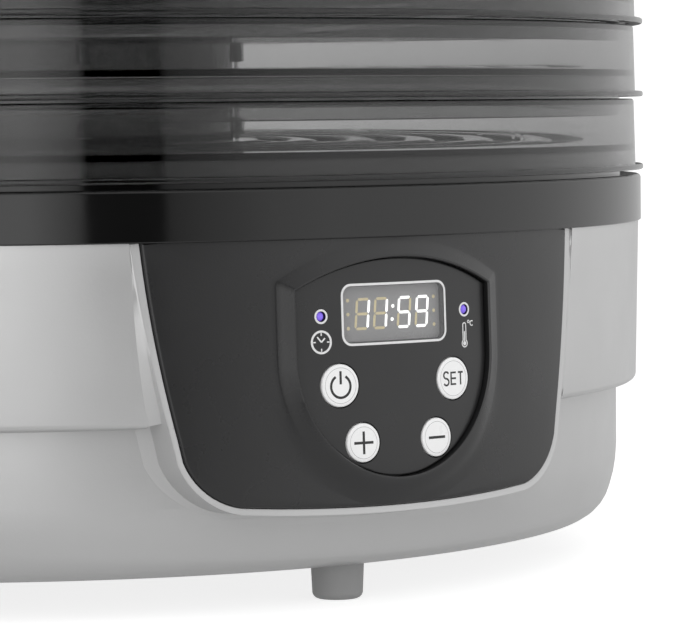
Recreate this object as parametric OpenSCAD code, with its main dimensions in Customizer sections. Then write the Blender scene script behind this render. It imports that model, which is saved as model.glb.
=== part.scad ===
// Round electric dryer: a powered base that blows warm air up through a stack of trays.
// Millimetres, +Z up.  The axis of the stack is the Z axis, the feet stand on z = 0 and
// the control panel faces -Y.

/* [Trays] */
// Height that each tray adds to the stack
tray_pitch = 18.8; // [16:0.2:24]
// Radius of the bead at the foot of each tray wall, the widest part of the dryer
bead_r = 165; // [165:0.5:168]
// Height of the concentric hub above the foot of a tray
hub_top = 14.7; // [10:0.1:15]

/* [Base] */
// Height of the underside of the housing above the table
ground_gap = 8.75; // [6:0.25:12]
// Height of the joint between the housing and the deck
joint_z = 85.4; // [84:0.2:95]
// Height of the lower edge of the skirt
skirt_z = 44; // [40:0.5:50]
// Radius of the skirt at the joint
skirt_r = 163.6; // [163:0.1:164]
// Radius of the wall below the skirt
lower_r = 157.5; // [156:0.5:159]
// Thickness of the moulded walls
wall = 2.5; // [2:0.1:3]

/* [Deck] */
// Radius of the black ring of the deck
ring_r = 164.3; // [164:0.1:165]
// Height of the black ring
ring_h = 11.9; // [10:0.1:14]
// Radius of the opening that the warm air leaves by
outlet_r = 54; // [50:1:56]

/* [Controls] */
// Diameter of the power and set buttons
big_button_d = 9.8; // [8:0.1:11]
// Diameter of the plus and minus buttons
small_button_d = 9; // [7:0.1:10]
// Distance that a button travels
button_travel = 0.8; // [0.5:0.1:1]

/* [Fan] */
// Radius over the tips of the fan blades
fan_r = 45; // [38:1:46]
// Number of fan blades
blade_count = 7; // [5:1:9]

/* [Hidden] */

$fn = 128;

// Stack
tray_count = 5;
ring_top = joint_z + ring_h;      // top of the deck's ring
bead_h = 1.4;                     // height of a tray's bead
tray_foot = ring_top + 1.2;       // foot of the lowest tray
wall_top = 18.2;                  // top of a tray's wall above its foot
floor_z = 5.0;                    // underside of a tray's floor above its foot
floor_t = 1.6;                    // thickness of a tray's floor
tray_wall_r = bead_r - 2;         // outside of a tray's wall at its foot
tray_wall_t = 1.9;                // thickness of a tray's wall
lip_r = tray_wall_r - 4.1;        // outside of the lip that the next tray sits over
lip_t = 3.0;                      // thickness of the lip
lip_foot = 13.6;                  // foot of the lip above the tray's foot
shelf_z = 16.6;                   // underside of the shelf that joins lip and wall
nest_gap = 0.2;                   // room between a lip's top and the floor above it
lip_top = tray_pitch + floor_z - nest_gap;
hub_r = 59;                       // outside of the hub
hub_t = 5;                        // thickness of the hub
lid_h = 10;                       // height of the lid
slot_rows = 6;                    // rings of air slots in a tray's floor
slot_spokes = 12;                 // spokes between the slots of one ring
slot_pitch = 15.5;                // distance between two rings of slots
slot_w = 8;                       // width of a slot
slot_first_r = 64;                // inside of the innermost slots

// Base
floor_top = ground_gap + wall;    // inside floor of the housing
foot_r = 6.3;                     // radius of a foot
foot_ring_r = 140;                // distance of the feet from the axis
corner_r = 9.45;                  // rounding of the housing's lower edge
corner_sweep = 66;                // angle that the rounding turns before it meets the crease
corner_c = lower_r - 10.5;        // where the rounding starts
intake_r = 50;                    // radius of the air intake
post_ring_r = 141;                // distance of the deck screws from the axis
post_r = 5;                       // radius of a screw post
screw_r = 1.6;                    // radius of a deck screw's thread
screw_fit = 0.05;                 // room round a screw in its hole
head_r = 3.2;                     // radius of a deck screw's head
head_z = joint_z - 14;            // underside of the deck screws' heads
deck_z = joint_z + 7.6;           // underside of the deck's plate
deck_t = 2.4;                     // thickness of the deck's plate
tongue_r = 159.4;                 // outside of the deck's tongue, which drops into the housing
tongue_t = 2.8;
tongue_h = 3;
tongue_room = 0.4;                // room round the tongue

// Panel surface: a cone that flares a little towards its lower edge
panel_top_r = 163;                // radius at the joint
panel_flare = 0.033;              // growth of the radius for each millimetre downwards
panel_t = 3;                      // thickness of the front panel
rim_w = 2.2;                      // width of the housing's rim round the panel
panel_fit = 0.15;                 // room between the panel and the rim
panel_low = 24;                   // lower edge of the panel at its middle
shield_w = 27.5;                  // half width of the control plate
shield_low = 30.8;                // lowest point of the control plate
shield_side = 73.8;               // height of its upper corners
shield_high = 80.6;               // highest point of the control plate
shield_gap = 0.3;                 // gap round the control plate
frame_w = 2.6;                    // width of the raised frame round the control plate
frame_rise = 1.4;                 // height of that frame
plate_rise = 0.4;                 // how far the control plate stands proud of the panel
plate_t = 2.2;                    // thickness of the control plate

// Controls, each as [x, z]
power_at = [-16.3, 52.1];
set_at = [16.3, 52.1];
plus_at = [-10.6, 38.8];
minus_at = [10.6, 38.8];
timer_led_at = [-20.7, 67.9];
temperature_led_at = [20.7, 67.9];
display_at = [-0.3, 68];
display_size = [29, 13];
button_gap = 0.3;                 // room round a button in the plate
button_rise = 0.3;                // how far a button stands proud of the plate
stem_r = 1.9;                     // radius of a button's stem
led_r = 1.15;                     // radius of an indicator
board_y = -146;                   // front face of the control board
board_t = 1.6;
switch_h = 3.5;                   // height of a tactile switch with its plunger
stem_room = 0.1;                  // room left under a stem that is fully pressed
board_corners = [[-33, 40], [33, 40], [-33, 76], [33, 76]];
board_screw_r = 1.3;
standoff_r = 2.6;
ledge_w = 2;                      // width of the ledge that the control plate rests on
collar_w = 1;                     // width of the collar that keeps a button in
window_in = 7;                    // how much smaller the window behind the panel is

// Fan, motor and heater
bracket_z = 41;                   // underside of the motor bracket
bracket_t = 1.5;
bracket_half = 66;                // half length of the bracket
bracket_post = 60;                // distance of the bracket's screws from the axis
motor_r = 27;
motor_h = 26;
boss_r = 6;                       // bearing boss on top of the motor
shaft_r = 2.5;
bearing_fit = 0.04;               // room between the shaft and its bearing
shaft_top = 68;
fan_z = 52;                       // underside of the fan's hub
fan_h = 12;
fan_hub_r = 12;
shroud_r = 48;                    // inside of the air duct
shroud_z = 46;
shroud_h = 24;
shroud_flange = 10;               // width of the duct's top flange
shroud_leg_r = 4;
heater_z = 72;                    // foot of the heater's frame
heater_h = 14;
heater_r = 50;
coil_wire_r = 1;
coil_radii = [18, 26, 34, 42];
coil_z = heater_z + heater_h / 2;

// Sensor, power board and cord gland
sensor_x = 64;                    // place of the temperature probe in the deck
sensor_r = 2;
power_y = -100;                   // middle of the power board
power_z = floor_top + 5;          // underside of the power board
gland_z = 24;                     // height of the cord gland at the back
gland_r = 6;
cord_bore_r = 3.6;

// Colours
housing_grey = [0.74, 0.74, 0.74];
deck_black = [0.07, 0.07, 0.07];
panel_black = [0.25, 0.25, 0.26];
smoke = [0.35, 0.35, 0.36, 0.6];
button_white = [0.95, 0.95, 0.95];
steel = [0.72, 0.73, 0.75];
board_green = [0.1, 0.35, 0.2];

// ---------------------------------------------------------------- shared shapes

// Points of an arc from angle a0 to angle a1 in n steps
function arc(cx, cy, r, a0, a1, n) =
    [for (i = [0:n]) let (a = a0 + (a1 - a0) * i / n) [cx + r * cos(a), cy + r * sin(a)]];

// Points of an outline's right half, followed by its mirror image on the left
function both_sides(half) =
    concat(half, [for (i = [len(half) - 1:-1:0]) [-half[i][0], half[i][1]]]);

// Radius of the panel's surface at height z
function panel_r(z) = panel_top_r + panel_flare * (joint_z - z);

// Distance of the panel's surface from the XZ plane at [x, z]
function panel_depth(at) = sqrt(pow(panel_r(at[1]), 2) - pow(at[0], 2));

// Flat ring between two heights
module ring(r_in, r_out, z0, z1) {
    translate([0, 0, z0])
        linear_extrude(z1 - z0)
            difference() {
                circle(r_out);
                circle(r_in);
            }
}

// Solid of the panel's conical surface, grown by proud
module panel_cone(proud, low = ground_gap, high = joint_z) {
    rotate_extrude()
        polygon([[0, low], [panel_r(low) + proud, low], [panel_r(high) + proud, high], [0, high]]);
}

// Outline in X and Z carried along Y from near to far in front of the axis
module forward(near, far) {
    translate([0, -near, 0])
        rotate([90, 0, 0])
            linear_extrude(far - near)
                children();
}

// Round bar along Y
module forward_bar(at, r, near, far) {
    translate([at[0], -near, at[1]])
        rotate([90, 0, 0])
            cylinder(r = r, h = far - near);
}

// Copies at equal angles, the first one at angle first
module around(count, first = 0) {
    for (i = [0:count - 1])
        rotate(first + 360 / count * i)
            children();
}

// Half width of the panel at height z: its sides bow outwards a little
function panel_half(z) = let (d = joint_z - z) 61.7 - 0.081 * d - 0.0017 * d * d;

// Right half of the panel's outline, grown sideways by side and downwards by down
function panel_half_outline(side, down, top) = concat(
    [for (x = [0:10:30]) [x, panel_low - down + 0.0009 * x * x]],
    arc(38, 42, 17 + (side + down) / 2, -82, -12, 8),
    [for (z = [46:8:78]) [panel_half(z) + side, z]],
    [[panel_half(joint_z) + side, top]]
);

module panel_outline(side = 0, down = 0, top = joint_z) {
    polygon(both_sides(panel_half_outline(side, down, top)));
}

// Shield outline of the control plate, grown by g
module shield_outline(g = 0) {
    high = shield_high + g;
    side = shield_side + g / 2;
    w = shield_w + g;
    sag = high - side;
    top_r = (w * w + sag * sag) / (2 * sag);
    polygon(concat(
        arc(0, shield_low + shield_w, w, 180, 360, 24),
        arc(0, high - top_r, top_r, 90 - asin(w / top_r), 90 + asin(w / top_r), 12)
    ));
}

module rounded_rectangle(centre, size, r) {
    x = size[0] / 2 - r;
    y = size[1] / 2 - r;
    translate(centre)
        polygon(concat(arc(x, y, r, 0, 90, 6), arc(-x, y, r, 90, 180, 6),
                       arc(-x, -y, r, 180, 270, 6), arc(x, -y, r, 270, 360, 6)));
}

// ---------------------------------------------------------------- housing

// Section of the housing's shell, from the intake round to the joint
module housing_section() {
    crease = arc(corner_c, ground_gap + corner_r, corner_r, -90, corner_sweep - 90, 6);
    inner = arc(corner_c, ground_gap + corner_r, corner_r - wall, corner_sweep - 90, -90, 6);
    polygon(concat(
        [[intake_r, ground_gap]],
        crease,
        [[lower_r - 0.3, ground_gap + 13], [lower_r, skirt_z - 18], [lower_r, skirt_z]],
        arc(skirt_r - 2.4, skirt_z + 1.5, 1.5, -90, 0, 4),
        [[skirt_r, joint_z], [skirt_r - wall, joint_z]],
        [[skirt_r - 0.9 - wall, skirt_z + wall], [lower_r - wall, skirt_z + wall]],
        [[lower_r - wall, skirt_z - 18], [lower_r - 0.3 - wall, ground_gap + 13]],
        inner,
        [[intake_r, floor_top]]
    ));
}

// Raised boss that carries the panel; its sides slope and its face is the panel's cone
module panel_boss() {
    front_y = 168;
    back_y = 146;
    intersection() {
        hull() {
            forward(front_y, front_y + 0.1)
                panel_outline(rim_w - 5, rim_w - 0.5);
            forward(back_y, back_y + 0.1)
                panel_outline(rim_w + 3.8, rim_w + 2.6);
        }
        panel_cone(0);
    }
}

module deck_screw_posts() {
    around(4, 45)
        translate([post_ring_r, 0, 0])
            ring(0, post_r, ground_gap + 1, joint_z);
}

// Holes for the deck screws: wide up to the head, then as wide as the thread
module deck_screw_holes() {
    around(4, 45)
        translate([post_ring_r, 0, 0]) {
            ring(0, head_r + 0.3, ground_gap - 1, head_z + 2.4);
            ring(0, screw_r + screw_fit, head_z, joint_z + 1);
        }
}

module bracket_posts() {
    for (x = [-bracket_post, bracket_post])
        translate([x, 0, floor_top - 1])
            cylinder(r = 5, h = bracket_z - floor_top + 1);
}

module base_housing() color(housing_grey) {
    difference() {
        union() {
            rotate_extrude()
                housing_section();
            difference() {
                panel_boss();
                translate([0, 0, floor_top])
                    cylinder(r = lower_r - wall, h = joint_z);
            }
            deck_screw_posts();
            bracket_posts();
        }
        // pocket and window for the front panel
        difference() {
            forward(130, 170)
                panel_outline(0, 0, joint_z + 1);
            panel_cone(-panel_t);
        }
        forward(130, 170)
            panel_outline(-window_in, -window_in, joint_z - 5);
        // groove for the deck's tongue
        ring(tongue_r - tongue_t - tongue_room, tongue_r + tongue_room,
             joint_z - tongue_h - tongue_room, joint_z + 1);
        deck_screw_holes();
        for (x = [-bracket_post, bracket_post])
            translate([x, 0, bracket_z - 12])
                cylinder(r = 1.5 + screw_fit, h = 13);
        // hole for the cord gland
        translate([0, lower_r - 10, gland_z])
            rotate([-90, 0, 0])
                cylinder(r = gland_r, h = 20);
    }
}

module feet() color(housing_grey) {
    around(4)
        translate([foot_ring_r, 0, 0])
            rotate_extrude()
                polygon(concat([[0, 0]], arc(foot_r - 1.2, 1, 1, -90, 0, 4),
                               [[foot_r, ground_gap], [0, ground_gap]]));
}

module intake_grille() color(deck_black) {
    r = intake_r - 0.2;
    difference() {
        ring(0, r, ground_gap, floor_top);
        for (row = [0:3])
            intersection() {
                ring(10 + row * 9.5, 15.5 + row * 9.5, 0, floor_top + 1);
                union()
                    around(6, 15 * row)
                        slot_sector(r, 360 / 6, 1.6, floor_top + 1);
            }
    }
}

// Wedge between two spokes, of radius r, with half a spoke's width cut off each side
module slot_sector(r, angle, half_spoke, h) {
    linear_extrude(h)
        polygon([
            [half_spoke / sin(angle / 2) * cos(angle / 2), half_spoke / sin(angle / 2) * sin(angle / 2)],
            [2 * r, half_spoke],
            [2 * r * cos(angle / 2), 2 * r * sin(angle / 2)],
            [2 * r * cos(angle) + half_spoke * sin(angle), 2 * r * sin(angle) - half_spoke * cos(angle)]
        ]);
}

// ---------------------------------------------------------------- deck

module deck_section() {
    polygon(concat(
        [[outlet_r, deck_z], [tongue_r - tongue_t, deck_z], [tongue_r - tongue_t, joint_z - tongue_h],
         [tongue_r, joint_z - tongue_h], [tongue_r, joint_z], [ring_r, joint_z]],
        arc(ring_r - 1, ring_top - 1, 1, 0, 90, 4),
        [[lip_r, ring_top], [lip_r, tray_foot + floor_z - nest_gap],
         [lip_r - lip_t, tray_foot + floor_z - nest_gap], [lip_r - lip_t, deck_z + deck_t]],
        [[outlet_r, deck_z + deck_t]]
    ));
}

module deck_cover() color(deck_black) {
    difference() {
        union() {
            rotate_extrude()
                deck_section();
            around(4, 45)
                translate([post_ring_r, 0, 0])
                    ring(0, 4, joint_z, deck_z + 1);
        }
        around(4, 45)
            translate([post_ring_r, 0, joint_z - 1])
                cylinder(r = screw_r + screw_fit, h = 7);
        translate([sensor_x, 0, deck_z - 1])
            cylinder(r = sensor_r + screw_fit, h = deck_t + 2);
    }
}

// Guard over the outlet: rings on crossed ribs
module outlet_grille() color(steel) {
    z0 = deck_z - 1.6;
    ring(outlet_r - 4, outlet_r + 5, z0, deck_z);
    for (r = [12:12:36])
        ring(r - 1, r + 1, z0, deck_z);
    difference() {
        union()
            for (a = [0, 60, 120])
                rotate(a)
                    translate([-outlet_r + 3, -1.5, z0])
                        cube([2 * outlet_r - 6, 3, deck_z - z0]);
        ring(outlet_r - 3, outlet_r + 9, z0 - 1, deck_z + 1);
    }
}

module deck_screws() color(steel) {
    around(4, 45)
        translate([post_ring_r, 0, 0]) {
            difference() {
                ring(0, head_r, head_z, head_z + 2.4);
                translate([-0.4, -2.2, head_z - 0.1])
                    cube([0.8, 4.4, 1.1]);
                translate([-2.2, -0.4, head_z - 0.1])
                    cube([4.4, 0.8, 1.1]);
            }
            ring(0, screw_r, head_z + 2.4, joint_z + 5.5);
        }
}

// ---------------------------------------------------------------- front panel and controls

module front_panel() color(panel_black) {
    difference() {
        union() {
            intersection() {
                forward(130, 170)
                    panel_outline(-panel_fit, -panel_fit);
                panel_cone(0.3);
            }
            intersection() {
                forward(130, 170)
                    shield_outline(shield_gap + frame_w);
                panel_cone(frame_rise);
            }
        }
        panel_cone(-panel_t, ground_gap, joint_z + 1);
        // seat of the control plate, with a ledge behind it
        difference() {
            forward(130, 170)
                shield_outline(shield_gap);
            panel_cone(plate_rise - plate_t, ground_gap, joint_z + 1);
        }
        forward(130, 170)
            shield_outline(-ledge_w);
        for (at = [plus_at, minus_at])
            forward_bar(at, small_button_d / 2 + collar_w + button_gap, 130, panel_r(panel_low) - 2);
    }
    // standoffs that the control board is screwed to
    difference() {
        for (at = board_corners)
            forward_bar(at, standoff_r, -board_y, panel_depth(at) - panel_t + 0.5);
        for (at = board_corners)
            forward_bar(at, board_screw_r + screw_fit, -board_y - 1, -board_y + 9);
    }
}

module control_plate() color(panel_black) {
    difference() {
        intersection() {
            forward(130, 170)
                shield_outline();
            panel_cone(plate_rise);
        }
        panel_cone(plate_rise - plate_t, ground_gap, joint_z + 1);
        for (at = [power_at, set_at])
            forward_bar(at, big_button_d / 2 + button_gap, 130, 170);
        for (at = [plus_at, minus_at])
            forward_bar(at, small_button_d / 2 + button_gap, 130, 170);
        for (at = [timer_led_at, temperature_led_at])
            forward_bar(at, led_r + screw_fit, 130, 170);
        forward(130, 170)
            rounded_rectangle(display_at, display_size, 2);
    }
}

module display_window() color([0.5, 0.5, 0.5, 0.6]) {
    difference() {
        intersection() {
            forward(130, 170)
                rounded_rectangle(display_at, display_size - [0.1, 0.1], 1.95);
            panel_cone(plate_rise - 0.1);
        }
        panel_cone(plate_rise - 1.4, ground_gap, joint_z + 1);
    }
}

// Four-digit display block on the control board
module display_module() color([0.85, 0.85, 0.82]) {
    depth = 12;
    translate([display_at[0] - 13, board_y - depth, display_at[1] - 5.5])
        cube([26, depth, 11]);
}

module indicator(at) {
    front = panel_depth(at) + plate_rise + 0.1;
    forward_bar(at, led_r, -board_y, front - led_r);
    translate([at[0], -front + led_r, at[1]])
        sphere(r = led_r - 0.01);
}

module led_timer() color([0.45, 0.35, 0.95]) indicator(timer_led_at);

module led_temperature() color([0.45, 0.35, 0.95]) indicator(temperature_led_at);

// A cap that follows the plate's surface, a collar behind the plate and a stem
module button(at, d) {
    collar_y = panel_depth([abs(at[0]) + d / 2 + collar_w, at[1]]) + plate_rise - plate_t - 0.6;
    intersection() {
        forward_bar(at, d / 2, collar_y - 0.6, 170);
        panel_cone(plate_rise + button_rise);
    }
    forward_bar(at, d / 2 + collar_w, collar_y - 1.2, collar_y);
    forward_bar(at, stem_r, -board_y + switch_h + button_travel + stem_room, collar_y - 0.6);
}

module button_power() color(button_white) button(power_at, big_button_d);

module button_set() color(button_white) button(set_at, big_button_d);

module button_plus() color(button_white) button(plus_at, small_button_d);

module button_minus() color(button_white) button(minus_at, small_button_d);

module tact_switches() color([0.15, 0.15, 0.16]) {
    for (at = [power_at, set_at, plus_at, minus_at]) {
        translate([at[0] - 3, board_y - switch_h + 0.5, at[1] - 3])
            cube([6, switch_h - 0.5, 6]);
        forward_bar(at, 1.6, -board_y + switch_h - 0.5, -board_y + switch_h);
    }
}

module control_board() color(board_green) {
    difference() {
        translate([-37, board_y, 35])
            cube([74, board_t, 46]);
        for (at = board_corners)
            forward_bar(at, board_screw_r + screw_fit, 100, 170);
    }
}

module board_screws() color(steel) {
    for (at = board_corners) {
        forward_bar(at, 2.4, -board_y - board_t - 1.8, -board_y - board_t);
        forward_bar(at, board_screw_r, -board_y - board_t, -board_y + 6.8);
    }
}

// Flat cable from the control board down to the power board
module ribbon_cable() color([0.8, 0.8, 0.82]) {
    t = 1;
    route = [[board_y + board_t, 36], [-132, 36], [-124, 30], [-118, 21], [-109, 21]];
    translate([-8, 0, 0])
        rotate([90, 0, 90])
            linear_extrude(16)
                polygon(concat(route, [for (i = [len(route) - 1:-1:0]) route[i] + [0, t]]));
}

// ---------------------------------------------------------------- fan and motor

module motor_bracket() color(steel) {
    difference() {
        union() {
            translate([-bracket_half, -11, bracket_z])
                cube([2 * bracket_half, 22, bracket_t]);
            ring(0, motor_r + 4, bracket_z, bracket_z + bracket_t);
        }
        translate([0, 0, bracket_z - 1])
            cylinder(r = boss_r + 0.2, h = bracket_t + 2);
        for (x = [-bracket_post, bracket_post])
            translate([x, 0, bracket_z - 1])
                cylinder(r = 1.5 + screw_fit, h = bracket_t + 2);
    }
}

module bracket_screws() color(steel) {
    for (x = [-bracket_post, bracket_post])
        translate([x, 0, 0]) {
            ring(0, 1.5, bracket_z - 11, bracket_z + bracket_t);
            ring(0, 2.9, bracket_z + bracket_t, bracket_z + bracket_t + 2);
        }
}

// Motor hung under the bracket, with a bearing boss that passes through it
module fan_motor() color([0.6, 0.6, 0.62]) {
    difference() {
        union() {
            ring(0, motor_r, bracket_z - motor_h, bracket_z - 2);
            ring(0, motor_r - 3, bracket_z - 2, bracket_z);
            ring(0, boss_r, bracket_z, bracket_z + bracket_t + 3);
        }
        translate([0, 0, bracket_z - motor_h + 3])
            cylinder(r = shaft_r + bearing_fit, h = motor_h + 10);
    }
}

module motor_shaft() color(steel)
    ring(0, shaft_r, bracket_z - motor_h + 3.2, shaft_top);

module fan_blade() {
    rotate([52, 0, 0])
        translate([fan_hub_r - 1.5, -1, -8])
            cube([fan_r - fan_hub_r + 1.5, 2, 16]);
}

module fan_impeller() color([0.15, 0.15, 0.16]) {
    difference() {
        union() {
            translate([0, 0, fan_z])
                cylinder(r = fan_hub_r, h = fan_h);
            intersection() {
                around(blade_count)
                    translate([0, 0, fan_z + fan_h / 2])
                        fan_blade();
                translate([0, 0, fan_z - 2])
                    cylinder(r = fan_r, h = fan_h + 4);
            }
        }
        translate([0, 0, fan_z - 5])
            cylinder(r = shaft_r, h = fan_h + 12);
    }
}

module fan_nut() color([0.8, 0.7, 0.35])
    translate([0, 0, fan_z + fan_h])
        difference() {
            cylinder(r = 5, h = 3, $fn = 6);
            translate([0, 0, -1])
                cylinder(r = shaft_r, h = 5, $fn = 64);
        }

// Air duct round the fan, on four legs
module fan_shroud() color([0.2, 0.2, 0.21]) {
    difference() {
        union() {
            ring(shroud_r, shroud_r + 2, shroud_z, shroud_z + shroud_h);
            ring(shroud_r, shroud_r + shroud_flange, shroud_z + shroud_h, shroud_z + shroud_h + 2);
            around(4, 45)
                translate([shroud_r + shroud_flange / 2, 0, 0])
                    ring(0, shroud_leg_r, floor_top, shroud_z + shroud_h + 1);
        }
        translate([0, 0, floor_top - 1])
            cylinder(r = shroud_r, h = shroud_z + shroud_h);
    }
}

// ---------------------------------------------------------------- heater

// Sheet-metal ring with a crossed pair of insulating boards
module heater_frame() color([0.8, 0.78, 0.7]) {
    difference() {
        union() {
            ring(heater_r, heater_r + 1, heater_z, heater_z + heater_h);
            for (a = [0, 90])
                rotate(a)
                    translate([-heater_r - 0.5, -0.5, heater_z + 1])
                        cube([2 * heater_r + 1, 1, heater_h - 2]);
        }
        // notches that the coil rests in
        for (r = coil_radii)
            coil_turn(r, coil_wire_r);
    }
}

module coil_turn(r, wire_r) {
    translate([0, 0, coil_z])
        rotate_extrude()
            translate([r, 0])
                circle(r = wire_r, $fn = 24);
}

module heater_coil() color([0.75, 0.45, 0.3])
    for (r = coil_radii)
        coil_turn(r, coil_wire_r);

module thermostat() color([0.75, 0.75, 0.78])
    translate([heater_r + 1, -6, heater_z + 2]) {
        cube([2, 12, 11]);
        translate([2, 6, 5.5])
            rotate([0, 90, 0])
                cylinder(r = 5, h = 6);
    }

module thermal_fuse() color([0.9, 0.9, 0.92])
    translate([-heater_r - 3.2, -7, heater_z + 6])
        rotate([-90, 0, 0])
            cylinder(r = 2, h = 14);

module temperature_sensor() color(steel) {
    translate([sensor_x, 0, deck_z - 6])
        cylinder(r = sensor_r, h = 6 + deck_t + 3);
    translate([sensor_x, 0, deck_z - 3])
        cylinder(r = sensor_r + 2, h = 3);
}

// ---------------------------------------------------------------- power electronics

module power_board() color(board_green) {
    translate([-40, power_y - 20, power_z])
        cube([80, 40, 1.6]);
    for (x = [-36, 36], y = [-16, 16])
        translate([x, power_y + y, floor_top])
            cylinder(r = 3, h = power_z - floor_top);
}

module power_transformer() color([0.85, 0.75, 0.3])
    translate([-34, power_y - 12, power_z + 1.6])
        cube([26, 24, 20]);

module power_relay() color([0.2, 0.35, 0.75])
    translate([14, power_y + 2, power_z + 1.6])
        cube([19, 15, 15.5]);

module terminal_block() color([0.2, 0.5, 0.25])
    translate([12, power_y - 17, power_z + 1.6])
        difference() {
            cube([20, 10, 11]);
            for (x = [3.5:4.35:17])
                translate([x, 5, 6])
                    cylinder(r = 1.5, h = 6);
        }

// Bush in the back wall that the mains lead passes through
module cord_gland() color(deck_black)
    translate([0, 0, gland_z])
        rotate([-90, 0, 0])
            difference() {
                union() {
                    translate([0, 0, lower_r - 9])
                        cylinder(r = gland_r - 0.02, h = 14);
                    translate([0, 0, lower_r + 0.2])
                        cylinder(r = gland_r + 2.5, h = 2.5);
                    translate([0, 0, lower_r - 9])
                        cylinder(r = gland_r + 2, h = 3);
                }
                translate([0, 0, lower_r - 12])
                    cylinder(r = cord_bore_r, h = 22);
            }

// ---------------------------------------------------------------- trays

function foot_of(n) = tray_foot + (n - 1) * tray_pitch;

// Outer wall with its bead, and the lip that the next tray sits over
module tray_rim(n) color(smoke)
    translate([0, 0, foot_of(n)])
        rotate_extrude()
            polygon([
                [tray_wall_r - tray_wall_t, 0], [bead_r, 0], [bead_r, bead_h], [tray_wall_r, bead_h],
                [tray_wall_r - 0.4, wall_top], [lip_r, wall_top], [lip_r, lip_top],
                [lip_r - lip_t, lip_top], [lip_r - lip_t, lip_foot], [lip_r, lip_foot],
                [lip_r, shelf_z], [tray_wall_r - tray_wall_t, shelf_z]
            ]);

// Floor with rings of air slots
module tray_floor(n) color(smoke)
    translate([0, 0, foot_of(n) + floor_z])
        difference() {
            ring(hub_r - hub_t, tray_wall_r - tray_wall_t, 0, floor_t);
            for (row = [0:slot_rows - 1])
                intersection() {
                    ring(slot_first_r + slot_pitch * row, slot_first_r + slot_pitch * row + slot_w, -1, floor_t + 1);
                    union()
                        around(slot_spokes)
                            translate([0, 0, -2])
                                slot_sector(bead_r, 360 / slot_spokes, 2.5, floor_t + 4);
                }
        }

// Ring round the central air duct
module tray_hub(n) color(smoke)
    translate([0, 0, foot_of(n)])
        ring(hub_r - hub_t, hub_r, floor_z + floor_t, hub_top);

// Shallow cover with rings of vent slots in its middle
module lid() color(smoke)
    translate([0, 0, foot_of(tray_count + 1)])
        difference() {
            rotate_extrude()
                polygon([
                    [tray_wall_r - tray_wall_t, 0], [bead_r, 0], [bead_r, bead_h], [tray_wall_r, bead_h],
                    [tray_wall_r - 2, lid_h - 2], [tray_wall_r - 6, lid_h], [0, lid_h + 1.5],
                    [0, lid_h - 0.5], [tray_wall_r - 7, lid_h - 2], [tray_wall_r - 4, lid_h - 3.5]
                ]);
            for (row = [0:2])
                intersection() {
                    ring(16 + 14 * row, 21 + 14 * row, 0, lid_h + 3);
                    union()
                        around(8, 22.5 * row)
                            slot_sector(60, 360 / 8, 2.5, lid_h + 4);
                }
        }

// ---------------------------------------------------------------- assembly

base_housing();
feet();
intake_grille();
deck_cover();
outlet_grille();
deck_screws();
front_panel();
control_plate();
display_window();
display_module();
led_timer();
led_temperature();
button_power();
button_set();
button_plus();
button_minus();
tact_switches();
control_board();
board_screws();
ribbon_cable();
motor_bracket();
bracket_screws();
fan_motor();
motor_shaft();
fan_impeller();
fan_nut();
fan_shroud();
heater_frame();
heater_coil();
thermostat();
thermal_fuse();
temperature_sensor();
power_board();
power_transformer();
power_relay();
terminal_block();
cord_gland();
tray_rim(1);  // tray_1_rim
tray_floor(1);  // tray_1_floor
tray_hub(1);  // tray_1_hub
tray_rim(2);  // tray_2_rim
tray_floor(2);  // tray_2_floor
tray_hub(2);  // tray_2_hub
tray_rim(3);  // tray_3_rim
tray_floor(3);  // tray_3_floor
tray_hub(3);  // tray_3_hub
tray_rim(4);  // tray_4_rim
tray_floor(4);  // tray_4_floor
tray_hub(4);  // tray_4_hub
tray_rim(5);  // tray_5_rim
tray_floor(5);  // tray_5_floor
tray_hub(5);  // tray_5_hub
lid();
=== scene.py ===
"""Looks for the round tray dryer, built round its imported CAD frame.

Shapes are worked out in millimetres and written to Blender in metres. Azimuth 0 is the
middle of the control panel, which faces -Y, and azimuths grow towards +X.
"""

import math

import bmesh
import bpy
from mathutils import Matrix, Vector


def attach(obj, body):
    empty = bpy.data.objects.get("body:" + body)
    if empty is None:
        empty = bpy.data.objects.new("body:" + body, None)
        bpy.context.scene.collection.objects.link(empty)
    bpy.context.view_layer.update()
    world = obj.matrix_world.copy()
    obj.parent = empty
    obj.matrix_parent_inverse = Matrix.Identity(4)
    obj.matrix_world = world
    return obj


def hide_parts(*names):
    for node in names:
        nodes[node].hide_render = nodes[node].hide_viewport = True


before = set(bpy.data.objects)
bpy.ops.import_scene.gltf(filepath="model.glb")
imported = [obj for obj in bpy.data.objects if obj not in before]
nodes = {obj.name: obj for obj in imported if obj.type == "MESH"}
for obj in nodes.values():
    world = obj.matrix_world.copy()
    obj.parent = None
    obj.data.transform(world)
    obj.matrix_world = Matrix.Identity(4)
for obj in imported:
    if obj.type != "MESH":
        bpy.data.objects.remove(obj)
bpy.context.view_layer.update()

MM = 0.001
scene = bpy.context.scene

# Heights and radii of the CAD frame
JOINT = 85.4          # joint between housing and deck
RING_TOP = 97.3
RING_R = 164.3
GROUND_GAP = 8.75
WALL = 2.5
SKIRT_R = 163.6
SKIRT_Z = 44.0
SKIRT_LEAN = 0.9      # the skirt's foot is this much further in than its top
SKIRT_ROUND = 1.5
LOWER_R = 157.5
LOWER_TURN = 26.0     # below this height the lower wall turns inwards
INTAKE_R = 50.0
POST_RING_R = 141.0
POST_HOLE_R = 3.5
FOOT_RING_R = 140.0
GLAND_Z = 24.0
GLAND_R = 6.0
DECK_Z = 93.0
DECK_T = 2.4
OUTLET_R = 54.0
TONGUE_R = 159.4
TRAY_FOOT = 98.5
TRAY_PITCH = 18.8
TRAYS = 5
BEAD_R = 165.0
BEAD_H = 1.4
TRAY_R = 163.0
TRAY_WALL = 1.9
SHOULDER_LOW = 16.6   # a tray's shoulder above the tray's foot
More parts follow.
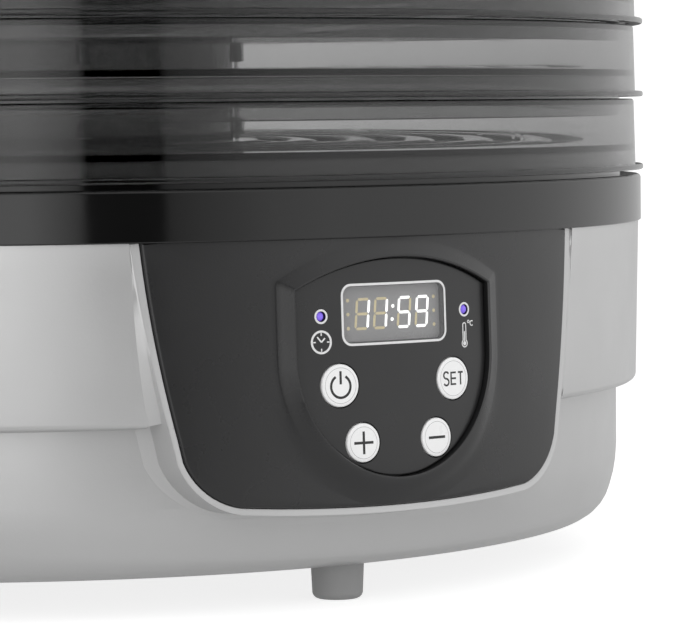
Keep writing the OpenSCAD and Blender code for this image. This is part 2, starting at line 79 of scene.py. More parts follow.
SHOULDER_HIGH = 18.2
LIP_R = 158.9
LIP_T = 3.0
LIP_FOOT = 13.6
FLOOR_LOW = 5.0       # a tray's floor above the tray's foot
FLOOR_HIGH = 6.6
LIP_GAP = 0.2
SLOT_FIRST = 64.0
SLOT_PITCH = 15.5
SLOT_W = 8.0
SLOT_ROWS = 6
HUB_R = 59.0
HUB_T = 5.0
HUB_TOP = 14.7
COIL_Z = 79.0
COIL_TURNS = (18, 26, 34, 42)
PANEL_R = 163.0       # radius of the panel's cone at the joint
PANEL_FLARE = 0.033
POCKET = -3.2         # floor of the pocket that holds the panel
PLATE_PROUD = 0.4
PLATE_T = 2.2
SHIELD_GAP = 0.3
SHIELD_HALF = 27.5
SHIELD_LOW, SHIELD_SIDE, SHIELD_HIGH = 30.8, 73.8, 80.6
SHIELD_CORNERS = [(-SHIELD_HALF, SHIELD_SIDE), (SHIELD_HALF, SHIELD_SIDE)]
CENTRE = (0.0, 58.0)  # outlines on the panel are measured from here

POWER_AT = (-16.3, 52.1)
SET_AT = (16.3, 52.1)
PLUS_AT = (-10.6, 38.8)
MINUS_AT = (10.6, 38.8)
TIMER_LED_AT = (-20.7, 67.9)
HEAT_LED_AT = (20.7, 67.9)
DISPLAY_AT = (-0.3, 68.0)
DISPLAY_SIZE = (29.0, 13.0)
BIG_BUTTON_R = 4.9
SMALL_BUTTON_R = 4.5
BUTTONS = (("power", POWER_AT, BIG_BUTTON_R), ("set", SET_AT, BIG_BUTTON_R),
           ("plus", PLUS_AT, SMALL_BUTTON_R), ("minus", MINUS_AT, SMALL_BUTTON_R))
BUTTON_GAP = 0.3
BUTTON_PROUD = 0.7    # a button's face above the panel's cone
STEM_DEPTH = 150.8    # distance of a stem's inner end from the axis
LED_HOLE_R = 1.2
HOLES_FROM, HOLES_TO = 150, 172   # reach of the cutters in front of the axis

# Low and high face of the raised prints, above the panel's cone
PRINT = (PLATE_PROUD - 0.05, PLATE_PROUD + 0.03)
OVERPRINT = (PRINT[0], PRINT[1] + 0.005)
CAP_PRINT = (BUTTON_PROUD - 0.05, BUTTON_PROUD + 0.03)
CAP_LINE = (CAP_PRINT[0], CAP_PRINT[1] - 0.01)


# ---------------------------------------------------------------- mesh building

class Shape:
    """Vertices in millimetres and faces, collected into one mesh."""

    def __init__(self):
        self.verts = []
        self.faces = []

    def add(self, verts, faces):
        base = len(self.verts)
        self.verts += verts
        self.faces += [[base + i for i in face] for face in faces]
        return self

    def join(self, other):
        return self.add(other.verts, other.faces)

    def moved(self, x, y, z):
        self.verts = [(a + x, b + y, c + z) for a, b, c in self.verts]
        return self


def polar(r, azimuth, z):
    return (r * math.sin(azimuth), -r * math.cos(azimuth), z)


def on_arc(cx, cz, r, angles):
    """Points of a circle at the given angles, in degrees."""
    return [(cx + r * math.cos(math.radians(a)), cz + r * math.sin(math.radians(a))) for a in angles]


def arc_points(cx, cz, r, start, end, steps):
    return on_arc(cx, cz, r, [start + (end - start) * i / steps for i in range(steps + 1)])


def circle(at, r, steps):
    return arc_points(*at, r, 0, 360 - 360 / steps, steps - 1)


def even_turn(columns):
    """Columns at equal azimuths, whatever the radius."""
    return lambda j, r: 2 * math.pi * (j % columns) / columns


def lathe(shape, profile, columns, turn=None, closed=True):
    """Turns (radius, z) points round the axis. profile is a list, or a function of the column."""
    turn = turn or even_turn(columns)
    at = profile if callable(profile) else lambda j: profile
    points = [[polar(r, turn(j, r), z) for r, z in at(j)] for j in range(columns)]
    n = len(points[0])
    faces = []
    for j in range(columns):
        k = (j + 1) % columns
        for i in range(n if closed else n - 1):
            m = (i + 1) % n
            faces.append([j * n + i, k * n + i, k * n + m, j * n + m])
    return shape.add([p for column in points for p in column], faces)


def rounded(points, steps=3):
    """Replaces each corner that carries a third number by an arc of that radius."""
    out = []
    for i, corner in enumerate(points):
        if len(corner) < 3:
            out.append(corner)
            continue
        here = Vector(corner[:2])
        to_last = (Vector(points[i - 1][:2]) - here).normalized()
        to_next = (Vector(points[(i + 1) % len(points)][:2]) - here).normalized()
        half = to_last.angle(to_next) / 2
        centre = here + (to_last + to_next).normalized() * corner[2] / math.sin(half)
        start = here + to_last * corner[2] / math.tan(half) - centre
        end = here + to_next * corner[2] / math.tan(half) - centre
        for s in range(steps + 1):
            out.append(tuple(centre + start.lerp(end, s / steps).normalized() * corner[2]))
    return out


def slotted_plate(shape, radii, top, bottom, columns, turn, is_open):
    """A ring of cells between radii and columns, without the open ones. Its two borders stay open."""
    n = len(radii)
    verts = [polar(r, turn(j, r), side(r)) for side in (bottom, top)
             for r in radii for j in range(columns)]

    def index(i, j, side):
        return (side * n + i) * columns + j % columns

    faces = []
    for i in range(n - 1):
        for j in range(columns):
            if is_open(i, j):
                continue
            for side in (0, 1):
                faces.append([index(i, j, side), index(i + 1, j, side),
                              index(i + 1, j + 1, side), index(i, j + 1, side)])
            borders = [((i, j - 1), (i, j), (i + 1, j)), ((i, j + 1), (i, j + 1), (i + 1, j + 1)),
                       ((i - 1, j), (i, j), (i, j + 1)), ((i + 1, j), (i + 1, j), (i + 1, j + 1))]
            for (ni, nj), a, b in borders:
                if 0 <= ni < n - 1 and is_open(ni, nj % columns):
                    faces.append([index(*a, 0), index(*b, 0), index(*b, 1), index(*a, 1)])
    return shape.add(verts, faces)


def loft(shape, rows, closed_rows=True, closed_loft=False):
    """Quads between rows of points that have the same count."""
    n = len(rows[0])
    faces = []
    for i in range(len(rows) if closed_loft else len(rows) - 1):
        k = (i + 1) % len(rows)
        for j in range(n if closed_rows else n - 1):
            m = (j + 1) % n
            faces.append([i * n + j, i * n + m, k * n + m, k * n + j])
    return shape.add([p for row in rows for p in row], faces)


def capped(shape, first, second):
    """A closed solid between two outlines that have the same count of points."""
    n = len(first)
    faces = [[i, (i + 1) % n, n + (i + 1) % n, n + i] for i in range(n)]
    return shape.add(first + second, faces + [list(range(n)), list(range(n, 2 * n))])


def make(name, shape, material, body=None, replaced=(), sharp=32):
    """One mesh object from a shape, cleaned, smooth shaded and riding on its body."""
    mesh = bpy.data.meshes.new(name)
    mesh.from_pydata([(x * MM, y * MM, z * MM) for x, y, z in shape.verts], [], shape.faces)
    clean = bmesh.new()
    clean.from_mesh(mesh)
    bmesh.ops.remove_doubles(clean, verts=clean.verts, dist=2e-6)
    bmesh.ops.delete(clean, geom=[v for v in clean.verts if not v.link_faces], context="VERTS")
    bmesh.ops.recalc_face_normals(clean, faces=clean.faces)
    clean.to_mesh(mesh)
    clean.free()
    obj = bpy.data.objects.new(name, mesh)
    scene.collection.objects.link(obj)
    if material:
        mesh.materials.append(material)
    smooth(obj, sharp)
    if body:
        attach(obj, body)
    if replaced:
        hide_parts(*replaced)
    return obj


def apply_modifiers(obj):
    bpy.context.view_layer.update()
    evaluated = obj.evaluated_get(bpy.context.evaluated_depsgraph_get())
    mesh = bpy.data.meshes.new_from_object(evaluated)
    obj.modifiers.clear()
    obj.data = mesh


def smooth(obj, sharp=32):
    """Smooth shading that leaves large faces flat next to narrow rounded corners."""
    obj.data.shade_smooth()
    obj.data.set_sharp_from_angle(angle=math.radians(sharp))
    modifier = obj.modifiers.new("large_faces_lead", "WEIGHTED_NORMAL")
    modifier.keep_sharp = True
    apply_modifiers(obj)


def cut(obj, cutter_shape, sharp=32):
    """Takes the cutter's volume out of obj."""
    cutter = make("cutter", cutter_shape, None)
    modifier = obj.modifiers.new("cut", "BOOLEAN")
    modifier.operation = "DIFFERENCE"
    modifier.solver = "EXACT"
    modifier.object = cutter
    apply_modifiers(obj)
    bpy.data.objects.remove(cutter)
    smooth(obj, sharp)
    return obj


# ---------------------------------------------------------------- materials

def new_material(name):
    material = bpy.data.materials.new(name)
    material.use_nodes = True
    tree = material.node_tree
    tree.nodes.clear()
    output = tree.nodes.new("ShaderNodeOutputMaterial")
    shader = tree.nodes.new("ShaderNodeBsdfPrincipled")
    tree.links.new(shader.outputs[0], output.inputs["Surface"])
    return material, tree, shader, output


def fill(node, values):
    """Sets the constant values of a node's inputs by name."""
    for name, value in values.items():
        node.inputs[name].default_value = value


def noise(tree, scale, detail=4.0, rough=0.55, stretch=(1, 1, 1)):
    """A noise texture in object coordinates."""
    where = tree.nodes.new("ShaderNodeTexCoord")
    mapping = tree.nodes.new("ShaderNodeMapping")
    mapping.inputs["Scale"].default_value = stretch
    texture = tree.nodes.new("ShaderNodeTexNoise")
    fill(texture, {"Scale": scale, "Detail": detail, "Roughness": rough})
    tree.links.new(where.outputs["Object"], mapping.inputs["Vector"])
    tree.links.new(mapping.outputs[0], texture.inputs["Vector"])
    return texture.outputs["Fac"]


def spread(tree, value, low, high, source=(0.35, 0.65)):
    """Maps a noise value to the range from low to high."""
    remap = tree.nodes.new("ShaderNodeMapRange")
    fill(remap, {"From Min": source[0], "From Max": source[1], "To Min": low, "To Max": high})
    tree.links.new(value, remap.inputs["Value"])
    return remap.outputs[0]


def blend_colours(tree, factor, a, b):
    """Mixes two colours. Each is a plain colour or the output of another node."""
    mix = tree.nodes.new("ShaderNodeMix")
    mix.data_type = "RGBA"
    tree.links.new(factor, mix.inputs["Factor"])
    for name, colour in (("A", a), ("B", b)):
        if isinstance(colour, tuple):
            mix.inputs[name].default_value = (*colour, 1)
        else:
            tree.links.new(colour, mix.inputs[name])
    return mix.outputs["Result"]


def uneven_gloss(tree, shader, scale, detail, low, high):
    """Roughness that wanders between low and high."""
    tree.links.new(spread(tree, noise(tree, scale, detail), low, high), shader.inputs["Roughness"])


def bump(tree, shader, height, strength, distance):
    node = tree.nodes.new("ShaderNodeBump")
    fill(node, {"Strength": strength, "Distance": distance})
    tree.links.new(height, node.inputs["Height"])
    tree.links.new(node.outputs[0], shader.inputs["Normal"])


def scaled(colour, factor):
    return tuple(min(1.0, c * factor) for c in colour)


def painted_edge_highlight(tree, colour_socket, highlight_colour, amount):
    """Lightens the raised edges a little: a painted highlight along them."""
    geometry = tree.nodes.new("ShaderNodeNewGeometry")
    edges = spread(tree, geometry.outputs["Pointiness"], 0.0, amount, (0.52, 0.62))
    return blend_colours(tree, edges, colour_socket, highlight_colour)


def moulded(name, colour, rough, grain=0.05, grain_scale=1800, spread_rough=0.05, metallic=0.0,
            mottle=0.06, edge_highlight=0.15):
    """Moulded or cast stuff: faint mottling, a fine grain, uneven gloss and a painted highlight on the
    edges.
    """
    material, tree, shader, _ = new_material(name)
    patches = noise(tree, 22, 3)
    shade = blend_colours(tree, spread(tree, patches, 0, 1), scaled(colour, 1 - mottle),
                          scaled(colour, 1 + mottle))
    # Painted highlight: the raised edges are lightened towards 1.6 times the colour.
    shade = painted_edge_highlight(tree, shade, scaled(colour, 1.6), edge_highlight)
    tree.links.new(shade, shader.inputs["Base Color"])
    uneven_gloss(tree, shader, 60, 5, rough - spread_rough, rough + spread_rough)
    fill(shader, {"Metallic": metallic, "Coat Roughness": 0.08})
    bump(tree, shader, noise(tree, grain_scale, 3), grain, 0.0002)
    return material


def brushed(name, colour, rough, stretch=(1, 1, 30)):
    """Metal with fine lines along one direction."""
    material, tree, shader, _ = new_material(name)
    lines = noise(tree, 300, 6, 0.6, stretch)
    tree.links.new(blend_colours(tree, lines, scaled(colour, 0.85), scaled(colour, 1.1)),
                   shader.inputs["Base Color"])
    tree.links.new(spread(tree, lines, rough - 0.08, rough + 0.12), shader.inputs["Roughness"])
    shader.inputs["Metallic"].default_value = 1.0
    bump(tree, shader, lines, 0.08, 0.0001)
    return material


def printed(name, colour, glow=0.0):
    """Screen-printed ink or a glowing part (a lit one, or one with a painted glow), with a faint
    unevenness.
    """
    material, tree, shader, _ = new_material(name)
    shade = blend_colours(tree, spread(tree, noise(tree, 900, 3), 0, 1), scaled(colour, 0.94), colour)
    tree.links.new(shade, shader.inputs["Base Color"])
    uneven_gloss(tree, shader, 400, 2, 0.35, 0.5)
    fill(shader, {"Emission Color": (*colour, 1), "Emission Strength": glow})
    bump(tree, shader, noise(tree, 2500, 2), 0.1, 0.00005)
    return material


def smoke_plastic(name, tint, density):
    """Clear tinted plastic: it darkens with the thickness that light passes through."""
    material, tree, shader, output = new_material(name)
    fill(shader, {"Base Color": (1, 1, 1, 1), "Transmission Weight": 1.0, "IOR": 1.5})
    waves = noise(tree, 14, 2, 0.4, (1, 1, 5))
    uneven_gloss(tree, shader, 90, 4, 0.0, 0.05)
    bump(tree, shader, waves, 0.015, 0.0004)
    lamp_side = tree.nodes.new("ShaderNodeBsdfTransparent")
    path = tree.nodes.new("ShaderNodeLightPath")
    mix = tree.nodes.new("ShaderNodeMixShader")
    tree.links.new(path.outputs["Is Shadow Ray"], mix.inputs[0])
    tree.links.new(shader.outputs[0], mix.inputs[1])
    tree.links.new(lamp_side.outputs[0], mix.inputs[2])
    tree.links.new(mix.outputs[0], output.inputs["Surface"])
    volume = tree.nodes.new("ShaderNodeVolumeAbsorption")
    fill(volume, {"Color": (*tint, 1), "Density": density})
    tree.links.new(volume.outputs[0], output.inputs["Volume"])
    return material


def window_plastic(name, colour, alpha):
    """Tinted display window: part of what lies behind shows through."""
    material, tree, shader, _ = new_material(name)
    shade = blend_colours(tree, noise(tree, 60, 3), scaled(colour, 0.92), colour)
    tree.links.new(shade, shader.inputs["Base Color"])
    uneven_gloss(tree, shader, 200, 3, 0.12, 0.2)
    shader.inputs["Alpha"].default_value = alpha
    bump(tree, shader, noise(tree, 700, 2), 0.04, 0.0001)
    return material


def circuit_board(name):
    """Green lacquer over faint copper tracks."""
    material, tree, shader, _ = new_material(name)
    tracks = tree.nodes.new("ShaderNodeTexBrick")
    fill(tracks, {"Scale": 90, "Mortar Size": 0.03, "Color1": (0.02, 0.14, 0.06, 1),
                  "Color2": (0.02, 0.11, 0.05, 1), "Mortar": (0.1, 0.32, 0.12, 1)})
    where = tree.nodes.new("ShaderNodeTexCoord")
    tree.links.new(where.outputs["Object"], tracks.inputs["Vector"])
    tree.links.new(tracks.outputs["Color"], shader.inputs["Base Color"])
    uneven_gloss(tree, shader, 120, 3, 0.25, 0.4)
    bump(tree, shader, tracks.outputs["Fac"], 0.2, 0.0001)
    return material


housing_grey = moulded("housing_grey", (0.51, 0.51, 0.51), 0.34, 0.08, 1500, 0.03, metallic=0.5,
                       mottle=0.012, edge_highlight=0.1)
foot_grey = moulded("foot_grey", (0.30, 0.30, 0.30), 0.5, 0.10, 1500, mottle=0.03)
gloss_black = moulded("gloss_black", (0.006, 0.006, 0.006), 0.07, 0.010, 500, 0.02, edge_highlight=0.02)
panel_black = moulded("panel_black", (0.016, 0.016, 0.0165), 0.29, 0.10, 2200, 0.03, edge_highlight=0.05)
plate_black = moulded("plate_black", (0.014, 0.014, 0.0145), 0.30, 0.08, 2600, 0.03, edge_highlight=0.03)
white_cap = moulded("white_cap", (0.93, 0.93, 0.93), 0.3, 0.04, 900, mottle=0.02)
dark_plastic = moulded("dark_plastic", (0.03, 0.03, 0.032), 0.5)
black_rubber = moulded("black_rubber", (0.02, 0.02, 0.02), 0.65, 0.2, 900)
steel = brushed("zinc_steel", (0.62, 0.63, 0.65), 0.32)
motor_steel = moulded("motor_steel", (0.35, 0.36, 0.38), 0.45, 0.1, 700, metallic=1.0)
aluminium = brushed("aluminium", (0.78, 0.78, 0.8), 0.28)
brass = brushed("brass", (0.78, 0.58, 0.26), 0.3)
mica = moulded("mica_board", (0.45, 0.40, 0.29), 0.6, 0.25, 400, mottle=0.2)
coil_wire = brushed("coil_wire", (0.42, 0.30, 0.25), 0.4)
tape_yellow = moulded("transformer_tape", (0.62, 0.48, 0.1), 0.35, mottle=0.1)
relay_blue = moulded("relay_blue", (0.05, 0.14, 0.42), 0.3)
terminal_green = moulded("terminal_green", (0.04, 0.24, 0.08), 0.4)
cable_grey = moulded("cable_grey", (0.5, 0.5, 0.52), 0.5, mottle=0.08)
board_green = circuit_board("board_green")
smoke = smoke_plastic("smoke_clear", (0.16, 0.16, 0.16), 430.0)
window_grey = window_plastic("window_grey", (0.40, 0.40, 0.405), 0.22)
module_face = moulded("module_face", (0.36, 0.36, 0.36), 0.5, mottle=0.03)
ink_white = printed("ink_white", (0.82, 0.82, 0.82))
ink_black = printed("ink_black", (0.02, 0.02, 0.02))
ink_grey = printed("ink_grey", (0.55, 0.55, 0.55))
segment_lit = printed("segment_lit", (1.0, 1.0, 0.98), 1.6)
# The unlit segments get a faint painted glow (emission 0.22).
segment_off = printed("segment_off", (0.86, 0.74, 0.42), 0.22)
violet_lens = printed("violet_lens", (0.22, 0.14, 0.75), 0.35)


# ---------------------------------------------------------------- panel surface and outlines

def on_panel(x, z, proud=0.0):
    """The point of the panel's cone at [x, z], moved outwards by proud."""
    r = PANEL_R + PANEL_FLARE * (JOINT - z) + proud
    return (x, -math.sqrt(r * r - x * x), z)


def panel_half(z):
    """Half width of the panel at height z."""
    d = JOINT - z
    return 61.7 - 0.081 * d - 0.0017 * d * d


def panel_right_side():
    """Points and outward normals of the panel's right half outline, from its middle up to the joint."""
    low, corner, corner_r = 24.0, (38.2, 41.9), 16.6
    points = [(x, low + 0.0009 * x * x) for x in range(0, 35, 3)]
    points += on_arc(*corner, corner_r, range(-80, -14, 6))
    heights = [42, 43, SKIRT_Z - 0.05, SKIRT_Z + 0.05, 44.6, 45.5, *range(48, 82, 3), 82.5, 84, JOINT]
    points += [(panel_half(z), z) for z in heights]
    out = []
    for i, (x, z) in enumerate(points):
        x0, z0 = points[max(i - 1, 0)]
        x1, z1 = points[min(i + 1, len(points) - 1)]
        if i == 0:
            x0 = -x1
        along = math.hypot(x1 - x0, z1 - z0)
        out.append((x, z, (z1 - z0) / along, -(x1 - x0) / along))
    return out


RIGHT_SIDE = panel_right_side()
U_PATH = [(-x, z, -nx, nz) for x, z, nx, nz in reversed(RIGHT_SIDE[1:])] + RIGHT_SIDE


def panel_loop(grow):
    """The panel's closed outline, grown by grow at the sides and below."""
    points = [(x + nx * grow, z + nz * grow) for x, z, nx, nz in U_PATH]
    half = panel_half(JOINT) + grow
    return [(-half, JOINT)] + points[1:-1] + [(half, JOINT)]


def shield_loop(grow):
    """The control plate's closed outline, grown by grow."""
    side_z, high, half = SHIELD_SIDE + grow / 2, SHIELD_HIGH + grow, SHIELD_HALF + grow
    sag = high - side_z
    top_r = (half * half + sag * sag) / (2 * sag)
    lean = math.degrees(math.asin(half / top_r))
    return (arc_points(0, SHIELD_LOW + SHIELD_HALF, half, 180, 360, 40)
            + arc_points(0, high - top_r, top_r, 90 - lean, 90 + lean, 24))


def reach(loop, angle):
    """Distance from CENTRE to the closed outline in the direction angle."""
    dx, dz = math.cos(angle), math.sin(angle)
    found = 0.0
    for (x0, z0), (x1, z1) in zip(loop, loop[1:] + loop[:1]):
        x0, x1, z0, z1 = x0 - CENTRE[0], x1 - CENTRE[0], z0 - CENTRE[1], z1 - CENTRE[1]
        det = dx * (z1 - z0) - dz * (x1 - x0)
        if abs(det) < 1e-12:
            continue
        along_ray = (x0 * (z1 - z0) - z0 * (x1 - x0)) / det
        along_side = (x0 * dz - z0 * dx) / det
        if -1e-9 <= along_side <= 1 + 1e-9:
            found = max(found, along_ray)
    return found


def loop_angles(corners, steps=200):
    """Even directions from CENTRE, with the exact directions of the corners among them."""
    angles = [2 * math.pi * i / steps for i in range(steps)]
    for x, z in corners:
        exact = math.atan2(z - CENTRE[1], x - CENTRE[0]) % (2 * math.pi)
        nearest = min(range(len(angles)), key=lambda i: abs(angles[i] - exact))
        angles[nearest] = exact
    return angles


def panel_row(angles, reaches, proud):
    """Points on the panel at a distance from CENTRE for each direction. proud may be a function."""
    row = []
    for angle, r in zip(angles, reaches):
        x = CENTRE[0] + r * math.cos(angle)
        z = CENTRE[1] + r * math.sin(angle)
        row.append(on_panel(x, z, proud(angle) if callable(proud) else proud))
    return row


def between(a, b, t):
    return [x + (y - x) * t for x, y in zip(a, b)]


def smoothstep(t):
    t = min(max(t, 0.0), 1.0)
    return t * t * (3 - 2 * t)


# ---------------------------------------------------------------- housing

def crease_height(azimuth):
    """The soft crease above the underside rises from the front towards the sides."""
    return 12.0 + 4.5 * (1 - math.cos(2 * (azimuth - math.radians(4))))


def skin_r(z):
    """Radius of the housing's outer surface at height z."""
    round_z = SKIRT_Z + SKIRT_ROUND
    if z > round_z:
        return SKIRT_R - SKIRT_LEAN * (JOINT - z) / (JOINT - round_z)
    if z > SKIRT_Z:
        return SKIRT_R - SKIRT_LEAN - SKIRT_ROUND + math.sqrt(SKIRT_ROUND ** 2 - (round_z - z) ** 2)
    if z > LOWER_TURN:
        return LOWER_R
    return LOWER_R - 0.3 * (LOWER_TURN - z) / 4


def housing_profile(azimuth):
    """Closed section of the housing's shell, with the crease at its height for this azimuth."""
    crease = (155.6, 14.4)
    round_r = SKIRT_R - SKIRT_LEAN - SKIRT_ROUND
    section = [
        (INTAKE_R, GROUND_GAP), (100, GROUND_GAP),
        *on_arc(147.0, 18.2, 9.45, (-90, -78, -66, -54, -42, -32)),
        crease, (155.9, 15.4), (156.7, 18.5), (157.2, 21.8), (LOWER_R, LOWER_TURN), (LOWER_R, 35),
        (LOWER_R, SKIRT_Z - 0.5), (LOWER_R + 0.5, SKIRT_Z), (round_r, SKIRT_Z),
        *on_arc(round_r, SKIRT_Z + SKIRT_ROUND, SKIRT_ROUND, (-67, -45, -22, 0)),
        *[(skin_r(z), z) for z in (50, 60, 70, 80)],
        (SKIRT_R, JOINT), (SKIRT_R - WALL, JOINT), (SKIRT_R - WALL - SKIRT_LEAN, SKIRT_Z + WALL),
        (LOWER_R - WALL, SKIRT_Z + WALL), (LOWER_R - WALL, LOWER_TURN), (153.6, 18), (147, 11.3),
        (INTAKE_R, GROUND_GAP + WALL)]
    lift = crease_height(azimuth) - crease[1]
    shaped = []
    for r, z in section:
        if z <= crease[1]:
            z += lift * (z - GROUND_GAP) / (crease[1] - GROUND_GAP)
        elif z < SKIRT_Z - 1:
            z += lift * (SKIRT_Z - 1 - z) / (SKIRT_Z - 1 - crease[1])
        shaped.append((r, z))
    return shaped


def rim_offsets(z, nz):
    """Offsets of the ridge and of the boss wall's foot from the panel's outline."""
    below = smoothstep(-nz * 1.1 - 0.2)
    down = min((JOINT - z) / (JOINT - SKIRT_Z), 1.0)
    ridge = 2.1 - 0.7 * down
    foot = 2.75 + 1.95 * max(0.0, down * 1.15 - 0.15) - 1.9 * below
    return ridge, foot


def boss_cut_loop():
    """Outline of the opening in the skirt, at the foot of the boss's side wall."""
    points = []
    for x, z, nx, nz in U_PATH:
        inside = rim_offsets(z, nz)[1] - 0.12
        points.append((x + nx * inside, z + nz * inside))
    points[0] = (points[0][0], JOINT + 2)
    points[-1] = (points[-1][0], JOINT + 2)
    return points


def prism(loop, near, far):
    """An outline in X and Z carried along Y in front of the axis."""
    return capped(Shape(), [(x, -near, z) for x, z in loop], [(x, -far, z) for x, z in loop])


def boss_ring():
    """The raised rim round the panel: side wall, ridge, flat rim and the wall of the pocket."""
    sections = []
    for x, z, nx, nz in U_PATH:
        ridge, foot = rim_offsets(z, nz)
        skin = skin_r(z + nz * foot) - PANEL_R - PANEL_FLARE * (JOINT - z)
        deep = -4.2 if z > SKIRT_Z + 4.5 else -9.0
        steps = [(foot + 0.25, skin - 1.2), (foot, skin - 0.02), (ridge + 0.3, min(-0.12, skin + 0.3)),
                 (ridge + 0.1, 0.02), (ridge - 0.12, 0.04), (0.14, -0.24), (0.0, -0.36), (0.0, POCKET),
                 (-3.0, POCKET), (-3.0, deep), (foot, deep)]
        sections.append([on_panel(x + nx * offset, min(z + nz * offset, JOINT), proud)
                         for offset, proud in steps])
    ring = loft(Shape(), sections)
    for end in (sections[0], sections[-1]):
        ring.add(end, [list(range(len(end)))])
    return ring


def bar_along_y(shape, at, r, near, far, steps=48):
    return shape.join(prism(circle(at, r, steps), near, far))


def upright_bar(shape, x, y, r, z0, z1, steps=40):
    bar = lathe(Shape(), [(0, z0), (r, z0), (r, z1), (0, z1)], steps, closed=False)
    return shape.join(bar.moved(x, y, 0))


def build_housing():
    columns = 360
    shape = lathe(Shape(), lambda j: housing_profile(2 * math.pi * j / columns), columns)
    housing = make("housing_shell", shape, housing_grey)
    cut(housing, prism(boss_cut_loop(), 130, 172))
    holes = Shape()
    for quarter in range(4):
        angle = math.radians(45 + 90 * quarter)
        x, y = POST_RING_R * math.cos(angle), POST_RING_R * math.sin(angle)
        upright_bar(holes, x, y, POST_HOLE_R, GROUND_GAP - 2, GROUND_GAP + 9)
    bar_along_y(holes, (0, GLAND_Z), GLAND_R, -166, -150)
    cut(housing, holes)
    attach(housing, "base")
    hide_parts("base_housing")
    make("housing_boss", boss_ring(), housing_grey, "base", sharp=38)


def build_feet():
    feet = Shape()
    top = GROUND_GAP + 0.2
    section = rounded([(0, 0), (5.9, 0, 1.6), (6.3, top), (0, top)], 5)
    for quarter in range(4):
        angle = math.radians(90 * quarter)
        foot = lathe(Shape(), section, 64, closed=False)
        feet.join(foot.moved(FOOT_RING_R * math.cos(angle), FOOT_RING_R * math.sin(angle), 0))
    make("moulded_feet", feet, foot_grey, "base", ["feet"])


def build_deck():
    tongue_in, tongue_foot = TONGUE_R - 2.8, JOINT - 3
    lip_top = TRAY_FOOT + FLOOR_LOW - LIP_GAP
    section = rounded([
        (OUTLET_R, DECK_Z), (tongue_in, DECK_Z), (tongue_in, tongue_foot), (TONGUE_R, tongue_foot),
        (TONGUE_R, JOINT), (RING_R, JOINT, 0.35), (RING_R, RING_TOP, 1.0), (LIP_R, RING_TOP),
        (LIP_R, lip_top, 0.4), (LIP_R - LIP_T, lip_top, 0.4),
        (LIP_R - LIP_T, DECK_Z + DECK_T), (OUTLET_R, DECK_Z + DECK_T, 0.6)], 4)
    make("gloss_deck", lathe(Shape(), section, 360), gloss_black, "base", ["deck_cover"])


# ---------------------------------------------------------------- front panel

def build_front_panel():
    half = panel_half(JOINT)
    angles = loop_angles([(-half, JOINT), (half, JOINT)] + SHIELD_CORNERS, 280)
    edge = {g: [reach(panel_loop(g), a) for a in angles] for g in (-0.15, -0.32, -0.75)}
    shield = {g: [reach(shield_loop(g), a) for a in angles]
              for g in (-2.0, SHIELD_GAP, 0.5, 0.85, 2.0, 3.2, 4.1, 4.6, 5.6, 7.5)}
    face, crest = 0.3, 1.9

    def bevel(g):
        """Height of the raised frame at an offset: straight at the sides, soft below."""
        def height(angle):
            soft = smoothstep(-math.sin(angle) * 1.6 - 0.2)
            plain = min(max((4.35 - g) / 3.5, 0), 1)
            faded = smoothstep((7.5 - g) / 6.65)
            return face + (crest - face) * (plain * (1 - soft) + faded * soft)
        return height

    def held(g):
        """Distances to the shield grown by g, kept inside the panel's edge."""
        return [min(s, e) for s, e in zip(shield[g], edge[-0.75])]

    back = POCKET + 0.2
    section = [(edge[-0.15], back), (edge[-0.15], -0.2), (edge[-0.32], 0.14), (edge[-0.75], face)]
    section += [(between(edge[-0.75], held(7.5), t), face) for t in (0.2, 0.4, 0.6, 0.8)]
    section += [(held(g), bevel(g)) for g in (7.5, 5.6, 4.6, 4.1, 3.2, 2.0, 0.85)]
    section += [(shield[0.5], crest - 0.03), (shield[SHIELD_GAP], crest - 0.25), (shield[SHIELD_GAP], -1.8),
                (shield[-2.0], -1.8), (shield[-2.0], back)]
    section += [(between(shield[-2.0], edge[-0.15], t), back) for t in (0.3, 0.65)]
    rows = [panel_row(angles, reaches, proud) for reaches, proud in section]
    make("satin_panel", loft(Shape(), rows, closed_loft=True), panel_black, "base",
         ["front_panel"], 24)


def split_sides(loop, longest):
    """Adds points on the sides of a closed outline that are longer than longest."""
    out = []
    for (x0, z0), (x1, z1) in zip(loop, loop[1:] + loop[:1]):
        parts = max(1, math.ceil(math.hypot(x1 - x0, z1 - z0) / longest))
        out += [(x0 + (x1 - x0) * i / parts, z0 + (z1 - z0) * i / parts) for i in range(parts)]
    return out


def window_loop(grow, corner=2.0):
    x, z = DISPLAY_SIZE[0] / 2 - corner, DISPLAY_SIZE[1] / 2 - corner
    loop = []
    for cx, cz, start in ((x, z, 0), (-x, z, 90), (-x, -z, 180), (x, -z, 270)):
        loop += arc_points(DISPLAY_AT[0] + cx, DISPLAY_AT[1] + cz, corner + grow, start, start + 90, 6)
    return split_sides(loop, 1.5)


